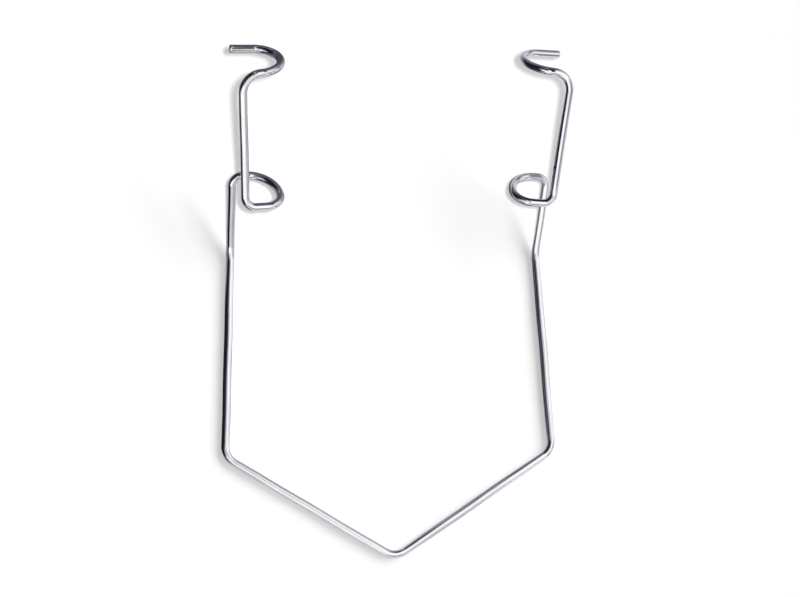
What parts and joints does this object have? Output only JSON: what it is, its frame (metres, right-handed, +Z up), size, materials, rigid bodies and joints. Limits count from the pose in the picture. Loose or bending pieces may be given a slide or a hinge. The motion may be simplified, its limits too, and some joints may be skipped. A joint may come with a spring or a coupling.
{
  "type": "wire eye speculum",
  "caption": "Eyelid speculum bent from round stainless wire: a wide V spring, shanks, and raised blades whose hooked ends hold the lids apart.",
  "frame": {"origin": "centre of the bounding box, on the ground that the handle lies on", "axes": "+Y from the spring's apex to the free tips, +X to the right-hand blade seen from above, +Z up, towards the raised blades"},
  "size_m": [0.034, 0.05, 0.0136],
  "materials": {
    "steel": "polished stainless steel wire"
  },
  "bodies": {
    "root": {"speculum_wire": "steel"}
  },
  "joints": []
}
